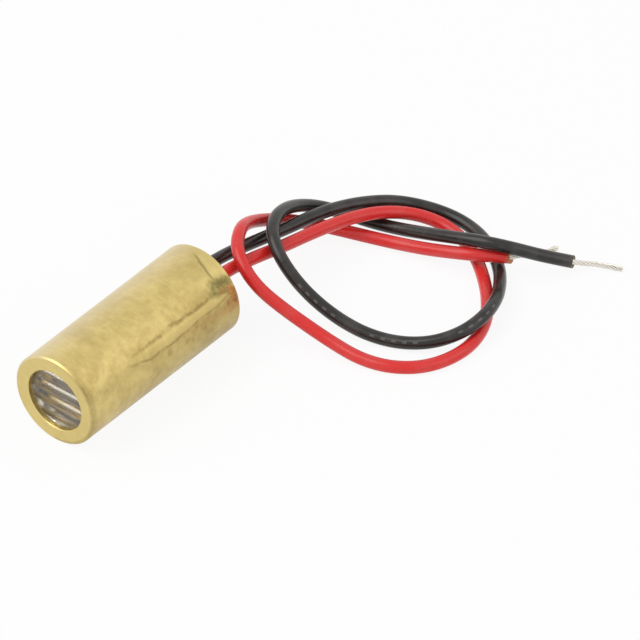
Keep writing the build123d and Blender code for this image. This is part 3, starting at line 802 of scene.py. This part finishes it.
class LeadSettings(bpy.types.PropertyGroup):
    """Sizes and colours of the two leads"""

    diameter: length_value("Diameter", "Outside of the insulation", 0.0012)
    spacing: length_value("Spacing", "Distance between the tube's rings", 0.0003)
    sides: IntProperty(name="Sides", description="Faces round the tube", default=28, min=8)
    cut_slant: angle_value("Cut slant", "Tilt of the cut at the far end", 38.0)
    cut_back: FloatVectorProperty(
        name="Cut back", description="Side on which the insulation is cut back", subtype="XYZ", size=3,
        default=(0.49, -0.59, 0.64),
    )
    red: colour_value("Red", "Colour of the red insulation", tint(226, 44, 41))
    black: colour_value("Black", "Colour of the black insulation", tint(36, 34, 31))
    red_core: colour_value("Red cut face", "Colour inside the red insulation", tint(204, 128, 74))
    black_core: colour_value("Black cut face", "Colour inside the black insulation", tint(96, 86, 58))
    bloom: colour_value("Bloom", "Colour of the dusty bloom", tint(180, 172, 166))
    bloom_share: share_value("Bloom share", "How strong the bloom is", 0.06)
    ink: colour_value("Ink", "Colour of the printed dashes", tint(150, 148, 144))
    ink_share: share_value("Ink share", "How strong the printed dashes are", 0.3)
    roughness: share_value("Roughness", "Roughness of the insulation", 0.24)
    gloss: share_value("Gloss", "Strength of the insulation's reflections", 0.42)
    dash_pitch: length_value("Dash pitch", "From one dash to the next", 0.0010)
    dash_length: length_value("Dash length", "Length of a dash", 0.0005)
    group_pitch: length_value("Group pitch", "From one group of dashes to the next", 0.0080)
    group_length: length_value("Group length", "Length of a group of dashes", 0.0045)
    print_start: length_value("Print start", "Where along the lead the dashes begin", 0.048)
    print_end: length_value("Print end", "Where along the lead the dashes end", 0.069)
    print_angle: angle_value("Print angle", "Side that the dashes are on", -116.0)


class StrandSettings(bpy.types.PropertyGroup):
    """Sizes and colours of the bare strands"""

    wires: IntProperty(name="Wires", description="Wires round the middle one", default=6, min=3)
    wire_radius: length_value("Wire radius", "Radius of one wire", 0.000082)
    lay_radius: length_value("Lay radius", "From the middle wire to the outer ones", 0.000162)
    twist: FloatProperty(name="Twist", description="Turns in a metre", default=330.0)
    splay: share_value("Splay", "How far the ends open", 0.45)
    ends: share_value("Ends", "Share of the length by which the ends differ", 0.07)
    spacing: length_value("Spacing", "Distance between the wires' rings", 0.0001)
    seed: IntProperty(name="Seed", description="Seed of the uneven ends", default=4)
    tin: colour_value("Tin", "Colour of the tin", tint(222, 218, 208))
    copper: colour_value("Copper", "Colour where the tin is thin", tint(196, 178, 148))


class StageSettings(bpy.types.PropertyGroup):
    """Camera, floor and light"""

    azimuth: angle_value("Azimuth", "Side that the camera is on", 39.49)
    elevation: angle_value("Elevation", "Height of the camera", 39.88)
    distance: length_value("Distance", "From the camera to the target", 1.1)
    target: FloatVectorProperty(
        name="Target", description="Point in the middle of the picture", subtype="XYZ", unit="LENGTH",
        size=3, default=(0.0080, 0.016894, 0.0006),
    )
    lens: FloatProperty(name="Lens", description="Focal length in millimetres", default=694.7)
    key: power_value("Key lamp", "Power of the lamp at the upper left", 2.2)
    fill: power_value("Fill lamp", "Power of the lamp at the right", 0.9)
    sky: FloatProperty(name="Surround", description="Strength of the white surround as a light", default=0.55)
    white: share_value("White floor", "Share of the floor that shows as plain white", 0.9)


SETTINGS = {
    "laser_barrel": BarrelSettings,
    "laser_lens": LensSettings,
    "laser_leads": LeadSettings,
    "laser_strands": StrandSettings,
    "laser_stage": StageSettings,
}


# Operators

class LASER_OT_barrel(bpy.types.Operator):
    """Gives the turned barrel its tarnished brass"""

    bl_idname = "laser_module.barrel"
    bl_label = "Barrel"

    def execute(self, context):
        paint(tarnished_brass(context.scene.laser_barrel), "barrel")
        return {"FINISHED"}


class LASER_OT_line_lens(bpy.types.Operator):
    """Makes the line lens with its grooves in clear plastic"""

    bl_idname = "laser_module.line_lens"
    bl_label = "Line lens"

    def execute(self, context):
        settings = context.scene.laser_lens
        low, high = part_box("line_lens")
        carrier = bpy.data.objects.new("lens_carrier", bpy.data.meshes.new("lens_carrier"))
        context.scene.collection.objects.link(carrier)
        lens = grown("line_lens_grooved", carrier, lens_tree(), {
            "Radius": (high.z - low.z) / 2, "Thickness": high.y - low.y - settings.gap, "Front": low.y,
            "Height": (low.z + high.z) / 2, "Grooves": settings.grooves, "Pitch": settings.pitch,
            "Depth": settings.depth, "Rows": settings.rows, "Columns": settings.columns,
            "Material": clear_lens(settings),
        })
        stand_in(lens, "line_lens", "clear_lens")
        return {"FINISHED"}


class LASER_OT_optics(bpy.types.Operator):
    """Gives the spacer, the collimator, its spring and the diode's mount their finishes"""

    bl_idname = "laser_module.optics"
    bl_label = "Optics"

    def execute(self, context):
        plastic = worked("pale_plastic", tint(214, 204, 182), tint(206, 196, 173), 1.0, 0.6, depth=0.0004)
        paint(plastic, "lens_spacer")
        brass = worked("inner_brass", tint(226, 198, 112), tint(210, 180, 97), 1.0, 0.45, 1.0, depth=0.0004)
        paint(brass, "collimator_holder", "diode_mount")
        glass = worked(
            "optical_glass", tint(250, 252, 252), tint(244, 248, 250), 1.0, 0.12, depth=0.0005,
            IOR=1.52, Transmission_Weight=1.0,
        )
        paint(glass, "collimator_lens", "diode_window")
        paint(worked("spring_steel", tint(196, 196, 194), tint(150, 150, 150), 5.0, 0.3, 1.0), "focus_spring")
        return {"FINISHED"}


class LASER_OT_diode(bpy.types.Operator):
    """Gives the laser diode's pieces their finishes"""

    bl_idname = "laser_module.diode"
    bl_label = "Laser diode"

    def execute(self, context):
        gold = worked("gold_plate", tint(240, 208, 122), tint(220, 180, 92), 3.0, 0.22, 1.0)
        paint(gold, "diode_header", "diode_pins")
        nickel = worked("nickel_plate", tint(214, 211, 204), tint(186, 184, 178), 3.0, 0.26, 1.0, turned=True)
        paint(nickel, "diode_cap")
        paint(worked("seal_glass", tint(64, 72, 78), tint(44, 52, 58), 4.0, 0.15, depth=0.001), "pin_seals")
        paint(worked("pale_ceramic", tint(228, 228, 222), tint(206, 206, 200), 12.0, 0.55), "chip_submount")
        crystal = worked("semiconductor", tint(70, 74, 88), tint(44, 48, 60), 14.0, 0.14, 0.6, depth=0.0008)
        paint(crystal, "laser_chip", "monitor_photodiode")
        return {"FINISHED"}


class LASER_OT_driver(bpy.types.Operator):
    """Gives the driver board and the parts soldered to it their finishes"""

    bl_idname = "laser_module.driver"
    bl_label = "Driver board"

    def execute(self, context):
        paint(board_laminate(), "driver_board")
        paint(worked("black_plastic", tint(46, 46, 48), tint(30, 30, 32), 8.0, 0.5), "driver_transistor")
        solder = worked("tin", tint(214, 214, 212), tint(184, 184, 184), 4.0, 0.24, 1.0)
        paint(solder, "transistor_legs", "diode_solder", "lead_solder")
        for node, body, deep in (
            ("chip_resistors", tint(44, 44, 46), tint(28, 28, 30)),
            ("chip_capacitors", tint(190, 158, 118), tint(166, 132, 94)),
        ):
            low, high = (corner.y * PER_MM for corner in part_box(node))
            tin_start = (high - low) * TIN_START
            paint(chip_ceramic(node + "_ceramic", body, deep, (low + high) / 2, tin_start), node)
        return {"FINISHED"}


class LASER_OT_potting(bpy.types.Operator):
    """Gives the epoxy plug at the rear end its finish"""

    bl_idname = "laser_module.potting"
    bl_label = "Rear potting"

    def execute(self, context):
        resin = worked("potting_resin", tint(40, 40, 42), tint(28, 28, 30), 1.6, 0.24, depth=0.02)
        paint(resin, "rear_potting")
        return {"FINISHED"}


class LASER_OT_leads(bpy.types.Operator):
    """Makes the two insulated leads and their bare strands, and finishes their stripped inner ends"""

    bl_idname = "laser_module.leads"
    bl_label = "Leads"

    def execute(self, context):
        leads = context.scene.laser_leads
        strands = context.scene.laser_strands
        tube, twist = insulation_tree(), strand_tree()
        tin = twisted_tin(strands)
        paint(tin, "red_lead_core", "black_lead_core")
        for colour, route, straight, tail, exit_point, length, printed in (
            ("black", BLACK_ROUTE, BLACK_STRAIGHT, BLACK_TAIL, BLACK_EXIT, BLACK_LENGTH, True),
            ("red", RED_ROUTE, RED_STRAIGHT, RED_TAIL, RED_EXIT, RED_LENGTH, False),
        ):
            tones = (getattr(leads, colour), getattr(leads, colour + "_core"))
            skin = lead_insulation(colour + "_insulation", *tones, leads, printed)
            end = Vector(route[-1])
            ahead = (end - Vector(route[-2])).normalized()
            cut_back = Vector(leads.cut_back)
            cut_back = (cut_back - ahead * cut_back.dot(ahead)).normalized()
            line = route_line(colour + "_route", route)
            path = route_points(line)
            sleeve = grown(colour + "_lead_sleeve", line, tube, {
                "Radius": leads.diameter / 2, "Spacing": leads.spacing, "Sides": leads.sides, "End": end,
                "Ahead": ahead, "Cut Back": cut_back, "Slope": math.tan(leads.cut_slant), "Material": skin,
            })
            strand_route = [end - ahead * STRAND_TUCK, end + ahead * straight, *tail]
            strand_line = route_line(colour + "_strand_route", strand_route)
            bundle = grown(colour + "_strand_bundle", strand_line, twist, {
                "Wires": strands.wires, "Wire Radius": strands.wire_radius, "Lay Radius": strands.lay_radius,
                "Twist": strands.twist, "Splay": strands.splay, "Ends": strands.ends,
                "Spacing": strands.spacing, "Seed": strands.seed, "Material": tin,
            })
            stand_in(sleeve, colour + "_lead", colour + "_insulation")
            stand_in(bundle, colour + "_strands", "tinned_copper")
        return {"FINISHED"}


class LASER_OT_stage(bpy.types.Operator):
    """Makes the pale floor, the soft light and the camera"""

    bl_idname = "laser_module.stage"
    bl_label = "Stage"

    def execute(self, context):
        scene = context.scene
        stage = scene.laser_stage
        scene.view_settings.view_transform = "Standard"
        self.world(scene, stage)
        self.floor(scene, stage)
        self.lamp("key_lamp", stage.key, Vector(stage.target), **KEY_LAMP)
        self.lamp("fill_lamp", stage.fill, Vector(stage.target), **FILL_LAMP)
        self.camera(scene, stage)
        return {"FINISHED"}

    @staticmethod
    def backdrop(web):
        """1 for rays that should meet plain white: the camera's, and those off metal and through glass."""
        ray = web.add("ShaderNodeLightPath", output="Is Camera Ray")
        return (ray + ray.output("Is Glossy Ray") + ray.output("Is Transmission Ray")).smaller(1.0)

    def world(self, scene, stage):
        world = bpy.data.worlds.new("white_surround")
        world.use_nodes = True
        web = Web(world.node_tree)
        web.tree.nodes.clear()
        strength = stage.sky + self.backdrop(web) * (1 - stage.sky)
        glow = web.add("ShaderNodeBackground", None, {"Color": WHITE, "Strength": strength})
        web.add("ShaderNodeOutputWorld", None, {"Surface": glow})
        scene.world = world

    def floor(self, scene, stage):
        mesh = bpy.data.meshes.new("floor")
        corners = [(x * FLOOR_REACH, y * FLOOR_REACH, 0) for x, y in ((-1, -1), (1, -1), (1, 1), (-1, 1))]
        mesh.from_pydata(corners, [], [(0, 1, 2, 3)])
        floor = bpy.data.objects.new("floor", mesh)
        scene.collection.objects.link(floor)
        material = bpy.data.materials.new("white_floor")
        material.use_nodes = True
        web = Web(material.node_tree)
        web.tree.nodes.clear()
        lit = web.add("ShaderNodeBsdfDiffuse", None, {"Color": FLOOR_TONE})
        plain = web.add("ShaderNodeEmission", None, {"Color": WHITE, "Strength": 1.0})
        shares = {0: self.backdrop(web) * stage.white, 1: lit, 2: plain}
        web.add("ShaderNodeOutputMaterial", None, {"Surface": web.add("ShaderNodeMixShader", None, shares)})
        mesh.materials.append(material)

    @staticmethod
    def lamp(name, power, target, size, **place):
        data = bpy.data.lights.new(name, "AREA")
        data.energy = power
        data.size = size
        lamp = bpy.data.objects.new(name, data)
        lamp.visible_camera = False
        aim(lamp, target, **place)

    @staticmethod
    def camera(scene, stage):
        data = bpy.data.cameras.new("camera")
        data.lens = stage.lens
        data.sensor_width = SENSOR_WIDTH
        data.clip_start = CLIP_START
        data.clip_end = CLIP_END
        camera = bpy.data.objects.new("camera", data)
        aim(camera, Vector(stage.target), stage.azimuth, stage.elevation, stage.distance)
        scene.camera = camera


OPERATORS = (
    LASER_OT_barrel, LASER_OT_line_lens, LASER_OT_optics, LASER_OT_diode, LASER_OT_driver, LASER_OT_potting,
    LASER_OT_leads, LASER_OT_stage,
)


class LASER_PT_module(bpy.types.Panel):
    """Lists the module's pieces and their settings"""

    bl_label = "Laser module"
    bl_idname = "LASER_PT_module"
    bl_space_type = "VIEW_3D"
    bl_region_type = "UI"
    bl_category = "Laser module"

    def draw(self, context):
        for operator in OPERATORS:
            self.layout.operator(operator.bl_idname)
        for name, group in SETTINGS.items():
            box = self.layout.box()
            box.label(text=group.__doc__)
            for key in group.__annotations__:
                box.prop(getattr(context.scene, name), key)


def register():
    for group in SETTINGS.values():
        bpy.utils.register_class(group)
    for name, group in SETTINGS.items():
        setattr(bpy.types.Scene, name, PointerProperty(type=group))
    for operator in OPERATORS:
        bpy.utils.register_class(operator)
    bpy.utils.register_class(LASER_PT_module)


def unregister():
    bpy.utils.unregister_class(LASER_PT_module)
    for operator in reversed(OPERATORS):
        bpy.utils.unregister_class(operator)
    for name, group in SETTINGS.items():
        delattr(bpy.types.Scene, name)
        bpy.utils.unregister_class(group)


def main():
    register()
    bpy.ops.laser_module.barrel()
    bpy.ops.laser_module.line_lens()
    bpy.ops.laser_module.optics()
    bpy.ops.laser_module.diode()
    bpy.ops.laser_module.driver()
    bpy.ops.laser_module.potting()
    bpy.ops.laser_module.leads()
    bpy.ops.laser_module.stage()


if __name__ == "__main__":
    main()
